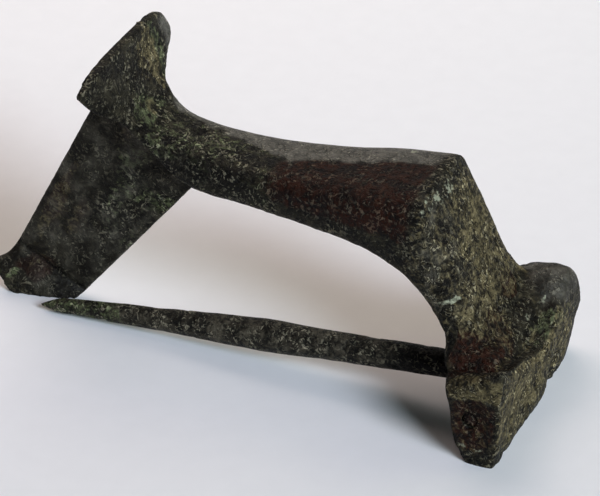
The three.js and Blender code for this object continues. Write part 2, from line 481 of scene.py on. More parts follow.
def painted(blotches: Iterable[Blotch], points: Array, normals: Array) -> dict[str, Array]:
    """The marks that the blotches leave, with ragged edges.

    The points are first shifted by uneven amounts of up to a millimetre, so that the blotches'
    edges wander, and the strongest blotch of a tone counts.

    Args:
        blotches: the blotches.
        points: the vertices.
        normals: the outward direction at each.

    Returns:
        For each tone, by its mark's name, a number from 0 to 1 at each vertex.
    """
    shift = np.stack([Grain(40 + k).fractal(points, 1.6, 4) for k in range(3)], axis=1)
    marks = {tone.value: np.zeros(len(points)) for tone in Tone}
    for blotch in blotches:
        mark = marks[blotch.tone.value]
        np.maximum(mark, blotch.cover(points + shift, normals), out=mark)
    return marks


# ---- Finishes -----------------------------------------------------------------------------

Colour = tuple[float, float, float]


class Bench:
    """Lays out the nodes of one node tree."""

    def __init__(self, tree: bpy.types.NodeTree) -> None:
        """Takes the tree to work on."""
        self.tree = tree

    def node(self, kind: str, **settings: object) -> bpy.types.Node:
        """A new node of a kind, with its settings.

        Args:
            kind: Blender's name for the kind.
            settings: its settings, by their own names.

        Returns:
            The new node.
        """
        made = self.tree.nodes.new(kind)
        for name, value in settings.items():
            setattr(made, name, value)
        return made

    def feed(self, socket: bpy.types.NodeSocket, value: object) -> None:
        """Gives a socket its value: a link where the value is a socket, else a plain number or colour.

        Args:
            socket: the socket to feed.
            value: what it is given.
        """
        if isinstance(value, bpy.types.NodeSocket):
            self.tree.links.new(value, socket)
        elif isinstance(value, tuple) and len(value) == 3 and socket.type == "RGBA":
            socket.default_value = (*value, 1.0)
        else:
            socket.default_value = value

    def sum(self, operation: str, *values: object) -> bpy.types.NodeSocket:
        """A Math node of an operation on up to three values.

        Args:
            operation: Blender's name for the operation.
            values: numbers or sockets.

        Returns:
            The result.
        """
        made = self.node("ShaderNodeMath", operation=operation)
        for socket, value in zip(made.inputs, values):
            self.feed(socket, value)
        return made.outputs[0]

    def soft(self, value: object, low: float, high: float) -> bpy.types.NodeSocket:
        """A soft step from 0 at low to 1 at high.

        Args:
            value: what is stepped.
            low: where the step is 0.
            high: where the step is 1. It may lie below low.

        Returns:
            The step's height.
        """
        made = self.node("ShaderNodeMapRange", interpolation_type="SMOOTHSTEP")
        start, end = (1.0, 0.0) if low > high else (0.0, 1.0)
        names = ("Value", "From Min", "From Max", "To Min", "To Max")
        for name, each in zip(names, (value, min(low, high), max(low, high), start, end)):
            self.feed(made.inputs[name], each)
        return made.outputs[0]

    def blend(self, share: object, under: object, over: object) -> bpy.types.NodeSocket:
        """A mix of two colours: over shows by the share.

        Args:
            share: how far the colour over the other shows.
            under: the colour beneath.
            over: the colour over it.

        Returns:
            The mixed colour.
        """
        made = self.node("ShaderNodeMix", data_type="RGBA")
        for index, value in ((0, share), (6, under), (7, over)):
            self.feed(made.inputs[index], value)
        return made.outputs[2]

    def noise(self, place: object, size: float, detail: float, wander: float = 0.0) -> bpy.types.NodeSocket:
        """Noise whose features are about size millimetres across.

        Args:
            place: the coordinates it is read at.
            size: the size of its features.
            detail: how many finer layers it has.
            wander: how far its features wander.

        Returns:
            Numbers about 0.5.
        """
        made = self.node("ShaderNodeTexNoise")
        self.feed(made.inputs["Vector"], place)
        made.inputs["Scale"].default_value = 1.0 / (size * MM)
        made.inputs["Detail"].default_value = detail
        made.inputs["Distortion"].default_value = wander
        return made.outputs["Fac"]

    def mark(self, name: str) -> bpy.types.NodeSocket:
        """A number that the mesh carries at its vertices."""
        return self.node("ShaderNodeAttribute", attribute_name=name).outputs["Fac"]


def new_group(
    name: str, inputs: dict[str, object], outputs: dict[str, str]
) -> tuple[bpy.types.NodeTree, Bench]:
    """A shader node group with its sockets.

    Args:
        name: the group's name.
        inputs: by socket name, its value where nothing is linked: a number or a colour.
        outputs: by socket name, its socket type.

    Returns:
        The group and a bench to lay it out on.
    """
    group = bpy.data.node_groups.new(name, "ShaderNodeTree")
    for label, value in inputs.items():
        kind = "NodeSocketColor" if isinstance(value, tuple) else "NodeSocketFloat"
        socket = group.interface.new_socket(label, in_out="INPUT", socket_type=kind)
        socket.default_value = (*value, 1.0) if isinstance(value, tuple) else value
    for label, kind in outputs.items():
        group.interface.new_socket(label, in_out="OUTPUT", socket_type=kind)
    return group, Bench(group)


class CorrosionGrain:
    """The fine grain that every corroded piece shares: mottling, flecks and pits too small to model."""

    NAME = "corrosion_grain"
    READINGS = ("Broad", "Fine", "Mottle", "Fleck", "Pit", "Height")

    @classmethod
    def group(cls) -> bpy.types.NodeTree:
        """The node group, made at its first use.

        It reads Object coordinates. Broad is unevenness of about a millimetre, Fine of a third of one, and
        Mottle sharpens a sum of three sizes. Fleck marks curled light flecks, pale patina and painted glints
        of the relief alike: the level lines of a wandering noise, broken up by a second and gathered in
        patches by a third. Pit marks small dark hollows, and the hollows beside the flecks. Height adds them
        up for a bump: Fine and Fleck raise it and Pit lowers it.

        Returns:
            The group.
        """
        if cls.NAME in bpy.data.node_groups:
            return bpy.data.node_groups[cls.NAME]
        group, bench = new_group(cls.NAME, {}, {name: "NodeSocketFloat" for name in cls.READINGS})
        place = bench.node("ShaderNodeTexCoord").outputs["Object"]

        broad = bench.noise(place, 1.3, 5.0, 0.4)
        cloud = bench.noise(place, 0.8, 2.0, 0.8)
        fine = bench.noise(place, 0.34, 4.0, 0.7)
        finest = bench.noise(place, 0.14, 3.0, 0.5)
        mottle = bench.sum("MULTIPLY_ADD", fine, 0.35, bench.sum("MULTIPLY", finest, 0.22))
        mottle = bench.soft(bench.sum("MULTIPLY_ADD", cloud, 0.43, mottle), 0.40, 0.60)
        away = bench.sum("ABSOLUTE", bench.sum("SUBTRACT", bench.noise(place, 0.60, 2.0, 1.6), 0.5))
        patch = bench.soft(bench.noise(place, 1.0, 1.0), 0.40, 0.60)
        gathered = bench.soft(bench.noise(place, 0.24, 2.0), 0.46, 0.56)
        gathered = bench.sum("MULTIPLY", gathered, bench.sum("MULTIPLY_ADD", patch, 0.8, 0.2))
        # Light flecks: pale flecks of patina, and painted glints where the relief would catch the light.
        fleck = bench.sum("MULTIPLY", bench.soft(away, 0.070, 0.030), gathered)
        beside = bench.sum("MULTIPLY", bench.soft(away, 0.055, 0.08), bench.soft(away, 0.19, 0.13))
        speck = bench.noise(place, 0.36, 3.0, 1.0)
        pit = bench.soft(bench.sum("MULTIPLY_ADD", broad, 0.25, speck), 0.54, 0.44)
        pit = bench.sum("MAXIMUM", pit, bench.sum("MULTIPLY", bench.sum("MULTIPLY", beside, gathered), 0.7))
        height = bench.sum("MULTIPLY_ADD", fine, 0.9, bench.sum("MULTIPLY", finest, 0.45))
        height = bench.sum("MULTIPLY_ADD", fleck, 0.6, height)
        height = bench.sum("MULTIPLY_ADD", pit, -0.6, height)
        out = bench.node("NodeGroupOutput")
        for name, value in zip(cls.READINGS, (broad, fine, mottle, fleck, pit, height)):
            bench.feed(out.inputs[name], value)
        return group


class PatinaLayers:
    """The colours of buried bronze, laid over each other by the marks on the mesh."""

    NAME = "patina_layers"
    COLOURS = ("Ground", "Ground Light", "Rub", "Cuprite", "Verdigris", "Crust", "Dark", "Fleck Tint", "Chip")

    @classmethod
    def group(cls) -> bpy.types.NodeTree:
        """The node group, made at its first use.

        The ground is mottled between two colours. Over it come red cuprite, green verdigris and pale crust,
        each with an edge broken up by the grain, then worn places, lighter there also as a painted sheen. All
        of that is darkened and lightened by the mottle, less so where it is worn. Hollows, pits and painted
        shade darken it, flecks, pale patina and painted glints alike, are a paler shade of what they lie on,
        and chips lie on top. Its outputs are the colour, and how rough and how bumpy the surface is there.

        Returns:
            The group.
        """
        if cls.NAME in bpy.data.node_groups:
            return bpy.data.node_groups[cls.NAME]
        inputs: dict[str, object] = {name: (0.5, 0.5, 0.5) for name in cls.COLOURS}
        inputs |= {name: 0.0 for name in CorrosionGrain.READINGS[:-1]}
        inputs |= {"Mark " + tone.value: 0.0 for tone in Tone}
        outputs = {"Color": "NodeSocketColor", "Roughness": "NodeSocketFloat", "Relief": "NodeSocketFloat"}
        group, bench = new_group(cls.NAME, inputs, outputs)
        given = bench.node("NodeGroupInput").outputs
        marked = lambda tone: given["Mark " + tone.value]

        def broken(tone: Tone, grain: str, depth: float) -> bpy.types.NodeSocket:
            """A tone's mark, its edge broken up by one of the grains. Where the mark is 0, nothing shows.

            Args:
                tone: what shows.
                grain: which grain breaks its edge.
                depth: how deeply the edge is broken.

            Returns:
                How far it shows, from 0 to 1.
            """
            raised = bench.sum("MULTIPLY_ADD", bench.sum("SUBTRACT", given[grain], 0.5), depth, marked(tone))
            present = bench.sum("MINIMUM", bench.sum("MULTIPLY", marked(tone), 4.0), 1.0)
            return bench.sum("MULTIPLY", bench.soft(raised, 0.15, 0.85), present)

        def scaled(colour: object, by: object) -> bpy.types.NodeSocket:
            """A colour made lighter or darker.

            Args:
                colour: the colour.
                by: what it is multiplied by.

            Returns:
                The new colour.
            """
            made = bench.node("ShaderNodeVectorMath", operation="SCALE")
            bench.feed(made.inputs[0], colour)
            bench.feed(made.inputs["Scale"], by)
            return made.outputs[0]

        colour = bench.blend(bench.soft(given["Broad"], 0.38, 0.62), given["Ground"], given["Ground Light"])
        for tone, grain, depth, label in (
            (Tone.CUPRITE, "Broad", 1.5, "Cuprite"),
            (Tone.VERDIGRIS, "Fine", 3.0, "Verdigris"),
            (Tone.CRUST, "Fine", 2.0, "Crust"),
        ):
            colour = bench.blend(broken(tone, grain, depth), colour, given[label])
        # Worn places, lighter there also as a painted sheen.
        rub = broken(Tone.RUB_AND_SHEEN, "Broad", 0.9)
        colour = bench.blend(rub, colour, given["Rub"])
        still = bench.sum("MULTIPLY", marked(Tone.SMOOTH), 0.75)
        calm = bench.sum("SUBTRACT", 1.0, bench.sum("MAXIMUM", bench.sum("MULTIPLY", rub, 0.5), still))
        mottled = scaled(colour, bench.sum("MULTIPLY_ADD", given["Mottle"], 1.5, 0.25))
        colour = bench.blend(calm, colour, mottled)
        colour = bench.blend(broken(Tone.DARK, "Fine", 0.9), colour, given["Dark"])
        pitted = bench.sum("MULTIPLY", bench.sum("MULTIPLY", given["Pit"], 0.8), calm)
        colour = bench.blend(pitted, colour, given["Dark"])
        # Flecks, pale patina and painted glints alike, are a paler shade of what they lie on.
        pale = bench.blend(0.5, scaled(colour, 6.0), given["Fleck Tint"])
        shown = bench.sum("MULTIPLY_ADD", marked(Tone.CUPRITE), -0.5, 1.0)
        shown = bench.sum("MULTIPLY", bench.sum("MULTIPLY", given["Fleck"], calm), shown)
        colour = bench.blend(shown, colour, pale)
        colour = bench.blend(broken(Tone.CHIP, "Fine", 2.4), colour, given["Chip"])
        rough = bench.sum("MULTIPLY_ADD", given["Fine"], 0.16, 0.50)
        rough = bench.sum("MULTIPLY_ADD", marked(Tone.CRUST), 0.12, rough)
        rough = bench.sum("MULTIPLY_ADD", rub, -0.14, rough)
        out = bench.node("NodeGroupOutput")
        bench.feed(out.inputs["Color"], colour)
        bench.feed(out.inputs["Roughness"], rough)
        bench.feed(out.inputs["Relief"], calm)
        return group


@dataclass(frozen=True)
class Patina:
    """A finish of buried bronze or iron.

    Attributes:
        name: the material's name.
        ground: the darker colour of its mottled ground.
        ground_light: the lighter one.
        rub: where it is worn smooth, and lighter there as a painted sheen.
        cuprite: its red-brown.
        verdigris: its green.
        crust: its pale crust.
        dark: its hollows, and painted shade.
        fleck_tint: what its flecks lean towards.
        chip: its flaked places.
        relief_mm: the height of its finest relief.
        mirror: how strongly its surface mirrors, 0.5 being the usual.
    """

    name: str
    ground: Colour = (0.0076, 0.0062, 0.0036)
    ground_light: Colour = (0.0190, 0.0165, 0.0095)
    rub: Colour = (0.088, 0.082, 0.066)
    cuprite: Colour = (0.0140, 0.0036, 0.0012)
    verdigris: Colour = (0.050, 0.057, 0.027)
    crust: Colour = (0.076, 0.062, 0.030)
    dark: Colour = (0.0025, 0.0018, 0.0014)
    fleck_tint: Colour = (0.25, 0.23, 0.16)
    chip: Colour = (0.32, 0.33, 0.23)
    relief_mm: float = 0.2
    mirror: float = 0.12

    def material(self) -> bpy.types.Material:
        """The finish as a material: grain and layers feed one shader.

        Returns:
            The new material.
        """
        made = bpy.data.materials.new(self.name)
        made.use_nodes = True
        bench = Bench(made.node_tree)
        shader = made.node_tree.nodes["Principled BSDF"]
        grain = bench.node("ShaderNodeGroup", node_tree=CorrosionGrain.group())
        layers = bench.node("ShaderNodeGroup", node_tree=PatinaLayers.group())
        for label in PatinaLayers.COLOURS:
            bench.feed(layers.inputs[label], getattr(self, label.lower().replace(" ", "_")))
        for label in CorrosionGrain.READINGS[:-1]:
            bench.feed(layers.inputs[label], grain.outputs[label])
        for tone in Tone:
            bench.feed(layers.inputs["Mark " + tone.value], bench.mark(tone.value))
        bump = bench.node("ShaderNodeBump")
        bump.inputs["Distance"].default_value = self.relief_mm * MM
        height = bench.sum("MULTIPLY", grain.outputs["Height"], layers.outputs["Relief"])
        bench.feed(bump.inputs["Height"], height)
        bench.feed(shader.inputs["Base Color"], layers.outputs["Color"])
        bench.feed(shader.inputs["Roughness"], layers.outputs["Roughness"])
        bench.feed(shader.inputs["Normal"], bump.outputs["Normal"])
        shader.inputs["Specular IOR Level"].default_value = self.mirror
        return made


BURIED_BRONZE = Patina("buried_bronze")
CORRODED_PIN = Patina(
    "corroded_pin",
    ground=(0.018, 0.015, 0.010),
    ground_light=(0.042, 0.036, 0.025),
    relief_mm=0.15,
)
RUSTED_IRON = Patina(
    "rusted_iron",
    ground=(0.014, 0.006, 0.004),
    ground_light=(0.03, 0.014, 0.008),
    cuprite=(0.022, 0.009, 0.005),
)


# ---- The brooch, cast in one ----------------------------------------------------------------


@dataclass(frozen=True)
class Station:
    """One station along the bow: the upper surface and underside as (x, z), and half the width."""

    upper: tuple[float, float]
    under: tuple[float, float]
    half: float


def circle_about(axis: tuple[float, float], radius: float) -> Array:
    """64 points (x, z) round an axis, from above it towards -X."""
    angle = np.linspace(2.0 * np.pi, 0.0, 64, endpoint=False)
    return np.stack([axis[0] + radius * np.sin(angle), axis[1] + radius * np.cos(angle)], axis=1)


def bar_along_y(outline: Array, middle: float, width: float) -> Skin:
    """A plain bar along Y, used to cut with: an outline carried from one end to the other.

    Args:
        outline: its points (x, z), from its top towards -X and round.
        middle: the middle of its length.
        width: its length.

    Returns:
        The closed skin, turned outward.
    """
    x, z = outline.T
    ends = middle + width / 2 * np.array([1.0, -1.0])
    return Skin.lofted(np.stack([np.stack([x, np.full_like(x, y), z], axis=1) for y in ends]))


@dataclass(frozen=True)
class Relief:
    """How far corrosion lifts and sinks the skin of the body, in millimetres.

    Attributes:
        swell: the broad unevenness, felt over three millimetres.
        rough: the roughness at a millimetre.
        fine: the roughness at a third of one.
        pit: the deeper pits.
        small_pit: the smaller ones.
        chunk: the broken outer face of the head.
    """

    swell: float = 0.05
    rough: float = 0.07
    fine: float = 0.03
    pit: float = 0.15
    small_pit: float = 0.10
    chunk: float = 0.22


@dataclass(frozen=True)
class Wear:
    """How deep casting and wear have left each hollow of the body, and how high each lump.

    Attributes:
        saddle: the furrow inside the outer edge of the saddle, in millimetres like the rest.
        behind_ear: the furrow behind the -Y ear.
        ears: the hollow of each ear.
        ear_lump: the lump on the +Y ear.
        fold: the furrow along the fold of the plate.
        dish: the dish round the bar in the -Y end.
        rear_bulge: the bulge low on the rear of that end.
    """

    saddle: float = 0.5
    behind_ear: float = 0.38
    ears: float = 0.35
    ear_lump: float = 0.38
    fold: float = 0.15
    dish: float = 0.2
    rear_bulge: float = 0.28


@dataclass
class BroochBody:
    """The bow with its flared foot, the catch plate under the foot, and the head.

    Attributes:
        stations: the bow, from the lip of the foot to the toe of the head.
        crease: which station is the knee, where the upper surface breaks.
        foot_bulge: how much higher the lip of the foot is in its middle.
        foot_corner_wear: how far its +Y corner is worn down.
        foot_sweep: how far that corner sweeps out over the catch.
        foot_shift: how far the lip lies towards -Y.
        squareness: of the bow's section; 2 is an ellipse.
        plate_outer: the plate's outer edge, top and bottom, as (x, z).
        plate_inner: its inner edge.
        plate_sag: how far its top hangs inside the curve of the foot.
        plate_y: the middle of its thickness.
        plate_thick: its thickness.
        fold_outer: where the fold of the catch meets the outer edge, as (x, z).
        fold_inner: where the fold runs out near the inner edge.
        fold_lean: how far the plate leans out below the fold, in the end.
        fold_depth: the depth over which it does so.
        torn_edge: how ragged its lowest edge is.
        lost_corner: how much of its outer lower corner is gone.
        half_width: half the width of the head.
        saddle_height: the outer edge's height midway between the ears.
        saddle_softness: how softly the edge turns there.
        rear_rise: how much higher the rear edge is there than at the ends.
        furrow_in: how far inside the outer edge a furrow follows it.
        ear_peaks: how far out the -Y and the +Y ear are highest, as shares of the half width.
        ear_worn: how far in from each end the wear reaches.
        ear_wear: how much faster the top wears than the sides.
        rear_top, ear_top, front_toe, rear_toe: the corners of the head's section as (x, z).
        head_corner: how far its corners are rounded, as a share of its sides.
        lobe_corner: how far the top of the +Y ear is.
        lobe_rounds: how many times that ear is relaxed beyond the rest.
        slump: how far the rear of the -Y end has sunk.
        near_drop: how much lower the -Y ear stands than the other.
        axis: the hinge, as (x, z).
        bore: the radius of its bore.
        knuckle: the radius of the room for the pin's knuckle.
        slot_y: the middle of the pin's slot.
        slot_width: its width.
        slot_back: how far behind the hinge it is cut.
        slot_front: how far ahead of the hinge it comes out underneath.
        slot_under: the height it is cut down to, below the floor.
        outer_lumps: how far each lump of the outer face rises, its place and width along Y, and
            its place and width along Z. A hollow rises by less than nothing.
        wear: its other hollows and lumps.
        limits: the brooch's least and greatest X, Y and Z.
        relief: its corrosion.
        grain: the side of the skin's faces.
    """

    stations: tuple[Station, ...] = (
        Station((-26.2, 18.2), (-26.92, 18.15), 6.25),
        Station((-25.75, 17.0), (-26.35, 16.65), 5.3),
        Station((-25.1, 15.2), (-25.4, 14.8), 3.0),
        Station((-23.85, 14.1), (-23.85, 12.85), 2.5),
        Station((-21.8, 13.75), (-21.6, 10.78), 2.4),
        Station((-18.2, 13.45), (-18.2, 10.5), 2.6),
        Station((-13.0, 13.76), (-13.4, 10.22), 3.15),
        Station((-9.5, 14.32), (-9.6, 9.75), 3.7),
        Station((-6.05, 14.62), (-7.0, 8.58), 4.1),
        Station((-4.33, 11.0), (-5.4, 7.22), 4.15),
        Station((-2.68, 7.4), (-4.45, 5.8), 4.4),
        Station((-1.3, 5.1), (-3.95, 5.0), 5.9),
        Station((0.3, 4.0), (-1.6, 4.7), 5.6),
    )
    crease: int = 8
    foot_bulge: float = 0.82
    foot_corner_wear: float = 1.5
    foot_sweep: float = 0.3
    foot_shift: float = 0.15
    squareness: float = 3.2
    plate_outer: tuple[tuple[float, float], tuple[float, float]] = ((-26.95, 17.6), (-35.88, 0.0))
    plate_inner: tuple[tuple[float, float], tuple[float, float]] = ((-20.6, 11.8), (-30.1, 0.0))
    plate_sag: float = 2.0
    plate_y: float = 0.2
    plate_thick: float = 1.0
    fold_outer: tuple[float, float] = (-33.97, 3.03)
    fold_inner: tuple[float, float] = (-30.49, 1.1)
    fold_lean: float = 1.95
    fold_depth: float = 2.2
    torn_edge: float = 0.10
    lost_corner: float = 1.35
    half_width: float = 7.25
    saddle_height: float = 4.0
    saddle_softness: float = 0.12
    rear_rise: float = 0.8
    furrow_in: float = 0.6
    ear_peaks: tuple[float, float] = (1.0, 0.72)
    ear_worn: tuple[float, float] = (0.5, 2.75)
    ear_wear: float = 1.8
    rear_top: tuple[float, float] = (-3.45, 5.5)
    ear_top: tuple[float, float] = (0.84, 7.4)
    front_toe: tuple[float, float] = (0.36, -0.4)
    rear_toe: tuple[float, float] = (-1.6, -0.4)
    head_corner: float = 0.4
    lobe_corner: float = 0.8
    lobe_rounds: int = 24
    slump: float = 0.8
    near_drop: float = 0.35
    axis: tuple[float, float] = (-1.3, 2.95)
    bore: float = 0.56
    knuckle: float = 1.5
    slot_y: float = -1.6
    slot_width: float = 2.8
    slot_back: float = 7.0
    slot_front: float = 0.3
    slot_under: float = -1.0
    outer_lumps: tuple[tuple[float, ...], ...] = (
        (0.26, -0.3, 1.5, 1.2, 1.2),
        (-0.45, 2.1, 0.6, 0.6, 1.1),
        (-0.22, -3.4, 1.8, 2.6, 2.0),
    )
    wear: Wear = Wear()
    limits: tuple[Point, Point] = ((-35.6, -7.25, 0.0), (0.78, 7.25, 19.0))
    relief: Relief = Relief()
    grain: float = 0.122

    # -- forms --

    def bow(self) -> Skin:
        """The bow and foot: superellipse rings between the two surfaces.

        The upper surface is one curve up to the knee and another from it, and the underside is
        one curve. Round a ring, y is half the width times cos^(2/q) and the height goes from
        the underside to the upper surface as (1 + sin^(2/q)) / 2, where q is the squareness.
        Over the foot, the rings rise by an arc across the width.

        Returns:
            The closed skin.
        """
        last, sides = len(self.stations) - 1, 144
        at = np.linspace(0.0, last, 30 * last + 1)
        upper = np.array([(s.upper[0], s.half, s.upper[1]) for s in self.stations])
        under = np.array([(s.under[0], s.half, s.under[1]) for s in self.stations])
        knee = self.crease
        before = curve_through(upper[: knee + 1], np.clip(at / knee, 0.0, 1.0))
        after = curve_through(upper[knee:], np.clip((at - knee) / (last - knee), 0.0, 1.0))
        top = np.where((at <= knee)[:, None], before, after)
        bottom = curve_through(under, at / last)
        angle = np.linspace(0.0, 2.0 * np.pi, sides, endpoint=False)
        across = signed_power(np.cos(angle), 2.0 / self.squareness)
        up = (1.0 + signed_power(np.sin(angle), 2.0 / self.squareness)) / 2.0
        ring = bottom[:, None] + (top - bottom)[:, None] * up[None, :, None]
        ring[..., 1] = top[:, None, 1] * across[None]
        far = np.maximum(0, across)
        arc = self.foot_bulge * (1 - np.abs(across) ** 3) - self.foot_corner_wear * far**12
        lip = np.maximum(0.0, 1.0 - at)[:, None] ** 2
        ring[..., 2] += arc[None] * lip
        ring[..., 0] -= self.foot_sweep * far[None] ** 2 * lip
        ring[..., 1] -= self.foot_shift * lip
        return Skin.lofted(ring)

    def plate(self) -> Skin:
        """The catch plate: a section across it, from the outer edge to the inner and back, carried down.

        Its top sags as 4a(1 - a) at the share a of the way across. Below the fold, a line that
        falls from the outer edge, it leans out towards -Y by 1 - exp(-depth below it).
        Its lowest edge is thinner and ragged, and the outer corner there is lifted by a soft
        step. Both its side edges are rounded as half ellipses.

        Returns:
            The closed skin.
        """
        down = np.linspace(0.0, 1.0, 160)[:, None]
        turn = np.linspace(0.0, 2.0 * np.pi, 220, endpoint=False)[None]
        across = 0.5 - 0.5 * signed_power(np.cos(turn), 0.55)
        thick = signed_power(np.sin(turn), 0.28)
        (ox0, oz0), (ox1, oz1) = self.plate_outer
        (ix0, iz0), (ix1, iz1) = self.plate_inner
        ox, oz = ox0 + (ox1 - ox0) * down, oz0 + (oz1 - oz0) * down
        ix, iz = ix0 + (ix1 - ix0) * down, iz0 + (iz1 - iz0) * down
        x = ox + (ix - ox) * across
        z = oz + (iz - oz) * across - self.plate_sag * 4 * across * (1 - across) * (1 - down) ** 4
        along_edge = np.stack([x, 0 * x, 0 * x], axis=-1).reshape(-1, 3)
        torn = Grain(71).fractal(along_edge, 1.1, 4).reshape(x.shape)
        z = z + self.torn_edge * torn * step(0.95, 1.0, down)
        z = z + self.lost_corner * step(-34.1, -35.7, x) * step(0.78, 1.0, down)
        lean = self.fold_lean * (1.0 - np.exp(-np.maximum(0.0, self.below_fold(x, z)) / self.fold_depth))
        thin = 1.0 - 0.35 * step(0.9, 1.0, down)
        y = self.plate_y - lean + self.plate_thick / 2 * thick * thin
        return Skin.lofted(np.stack([x, y, z], axis=-1))

    def below_fold(self, x: Array, z: Array) -> Array:
        """How far a point of the plate lies below the line of the fold: negative above it.

        Args:
            x: the points' places along the brooch.
            z: their heights.

        Returns:
            One distance for each point.
        """
        (x0, z0), (x1, z1) = self.fold_outer, self.fold_inner
        along = np.array([x1 - x0, z1 - z0]) / math.hypot(x1 - x0, z1 - z0)
        return (x - x0) * along[1] - (z - z0) * along[0]

    def head(self) -> Skin:
        """The head: a four-cornered section with rounded corners, carried across the brooch.

        The outer edge dips from the ears to the saddle as sqrt(a^2 + s^2), and the rear edge
        rises there as 1 - a^2, where a is the share of the half width. Towards each end all four
        corners draw in along a quarter circle. Each corner is a quadratic curve. The rings are
        closer together towards the ends.

        The +Y ear is rounded more than the rest along its top. Towards the -Y end the rear edge
        sinks and draws in, and the ear stands lower, both by soft steps.

        Returns:
            The closed skin.
        """
        across = np.sin(np.linspace(-0.5, 0.5, 200) * np.pi)
        share = np.abs(across)
        peak = np.where(across < 0, *self.ear_peaks)
        worn = np.where(across < 0, *self.ear_worn)
        into = np.clip(1 - (1 - share) * self.half_width / worn, 0.0, 0.97)
        wear = worn * (1 - np.sqrt(1 - into**2))
        climb = lambda v: np.hypot(v, self.saddle_softness) - self.saddle_softness
        rise = np.minimum(1.0, climb(share) / climb(peak))
        edge = self.saddle_height + (self.ear_top[1] - self.saddle_height) * rise
        edge -= self.near_drop * step(-0.4, -0.9, across)
        rear = self.rear_top[1] + self.rear_rise * (1 - across**2)
        slump = self.slump * step(-0.6, -1.0, across)
        toe_out = 0.1 * step(-0.3, -0.5, across) - 0.2 * step(0.2, 0.4, across)
        rear_in = wear / 3 + 0.2 * slump + 0.4 * step(-0.86, -1.0, across)
        section = (
            (self.rear_top[0] + rear_in, rear - wear / 2 - slump),
            (self.ear_top[0] - wear / 10, edge - self.ear_wear * wear),
            (self.front_toe[0] + toe_out - wear / 6, self.front_toe[1] + wear),
            (self.rear_toe[0] + wear / 3, self.rear_toe[1] + wear / 2),
        )
        corners = np.stack([np.stack(corner, axis=1) for corner in section], axis=1)
        rounding = np.full((len(across), 4, 1), self.head_corner)
        rounding[:, 0, 0] -= self.head_corner / 2 * step(-0.3, -0.6, across)
        rounding[:, 1, 0] += (self.lobe_corner - self.head_corner) * step(0.2, 0.6, across)
        toward = lambda other: corners + (other - corners) * rounding / 2
        enter, leave = toward(np.roll(corners, 1, axis=1)), toward(np.roll(corners, -1, axis=1))
        t = np.linspace(0.0, 1.0, 10)[None, None, :, None]
        enter, middle, leave = (each[:, :, None] for each in (enter, corners, leave))
        curve = (1 - t) ** 2 * enter + 2 * t * (1 - t) * middle + t * t * leave
        outline = curve.reshape(len(across), -1, 2)
        y = np.broadcast_to(self.half_width * across[:, None], outline.shape[:2])
        return Skin.lofted(np.stack([outline[..., 0], y, outline[..., 1]], axis=-1))

    def cutters(self) -> list[Skin]:
        """The bore through both ends of the head, the slot and the room for the pin's knuckle.

        Returns:
            The three cutters, turned outward.
        """
        x, z = self.axis
        top, under, back = z + self.knuckle, self.slot_under, x - self.slot_back
        front, ahead = x + self.slot_front, x + self.knuckle
        slot = np.array([(x, top), (back, top), (back, under), (front, under), (ahead, z)])
        just_less = 0.002  # keeps the ends of the room off the slot's own sides
        return [
            bar_along_y(slot, self.slot_y, self.slot_width),
            bar_along_y(circle_about(self.axis, self.knuckle), self.slot_y, self.slot_width - just_less),
            bar_along_y(circle_about(self.axis, self.bore), 0.0, 4 * self.half_width),
        ]

    # -- surface --

    def regions(self, points: Array) -> dict[str, Array]:
        """Soft masks of the body's regions: foot, plate, neck, bow, shin and head.

        Args:
            points: the vertices.

        Returns:
            Numbers from 0 to 1 by region.
        """
        x, y, z = points.T
        (ix0, iz0), (ix1, iz1) = self.plate_inner
        beside = (x - ix0) - (z - iz0) * (ix1 - ix0) / (iz1 - iz0)
        under_foot = np.interp(x, *np.array([s.under for s in self.stations]).T) - z
        off_plate = np.abs(y - self.plate_y + 0.4)
        plate = step(0.5, 0.0, beside) * step(-0.2, 0.35, under_foot) * step(1.3, 0.9, off_plate)
        head = step(-4.6, -3.6, x) * step(7.6, 6.4, z)
        shin = step(-7.2, -6.2, x) * (1 - head)
        foot = step(-23.6, -24.8, x) * (1 - plate)
        neck = step(-24.8, -23.8, x) * step(-19.0, -21.0, x) * (1 - plate)
        bow = (1 - shin) * (1 - foot) * (1 - head) * (1 - plate)
        return {"plate": plate, "head": head, "shin": shin, "foot": foot, "neck": neck, "bow": bow}

    def hollows(self, points: Array, normals: Array) -> Array:
        """How far casting and wear have sunk or raised the skin, as a shift of each vertex.

        Each is a bell curve, exp(-(away / width)^2), along one or two of the axes, kept to its
        own stretch by soft steps. They are a furrow just inside the outer edge of the saddle,
        one behind the -Y ear, the hollows of both ears, a lump on the +Y ear, a shallow furrow
        along the fold of the plate, a dish in the -Y end round the bar, a bulge low on the rear
        of that end, and a lump and two hollows in the outer face.

        Args:
            points: the vertices.
            normals: the outward direction at each.

        Returns:
            One shift for each vertex.
        """
        x, y, z = points.T
        wear = self.wear
        bell = lambda away, width: np.exp(-((away / width) ** 2))
        shift = np.zeros_like(points)

        top = step(0.1, 0.6, normals[:, 2]) * step(-3.8, -3.0, x) * step(7.9, 7.0, z)
        rim = self.front_toe[0] - self.furrow_in
        saddle = bell(x - rim, 0.62) * step(-5.9, -5.0, y) * step(4.6, 2.4, y)
        behind = bell(y + 5.35, 0.5) * step(-4.2, -3.0, x) * step(0.7, 0.0, x)
        shift[:, 2] -= top * np.maximum(wear.saddle * saddle, wear.behind_ear * behind)
        ears = bell(np.abs(y) - 5.1, 1.1) * step(-3.4, -2.4, x) * step(0.6, -0.4, x)
        shift[:, 2] -= wear.ears * top * ears
        ear = step(0.0, 0.4, normals[:, 2]) * step(-4.3, -3.4, x) * step(3.0, 4.6, y) * step(7.9, 7.0, z)
        shift[:, 2] += wear.ear_lump * ear * bell(x + 1.7, 2.4)

        on_plate = step(-29.0, -30.0, x) * step(3.4, 3.0, z) * step(0.5, 0.9, np.abs(normals[:, 1]))
        shift -= normals * (wear.fold * on_plate * bell(self.below_fold(x, z), 0.16))[:, None]

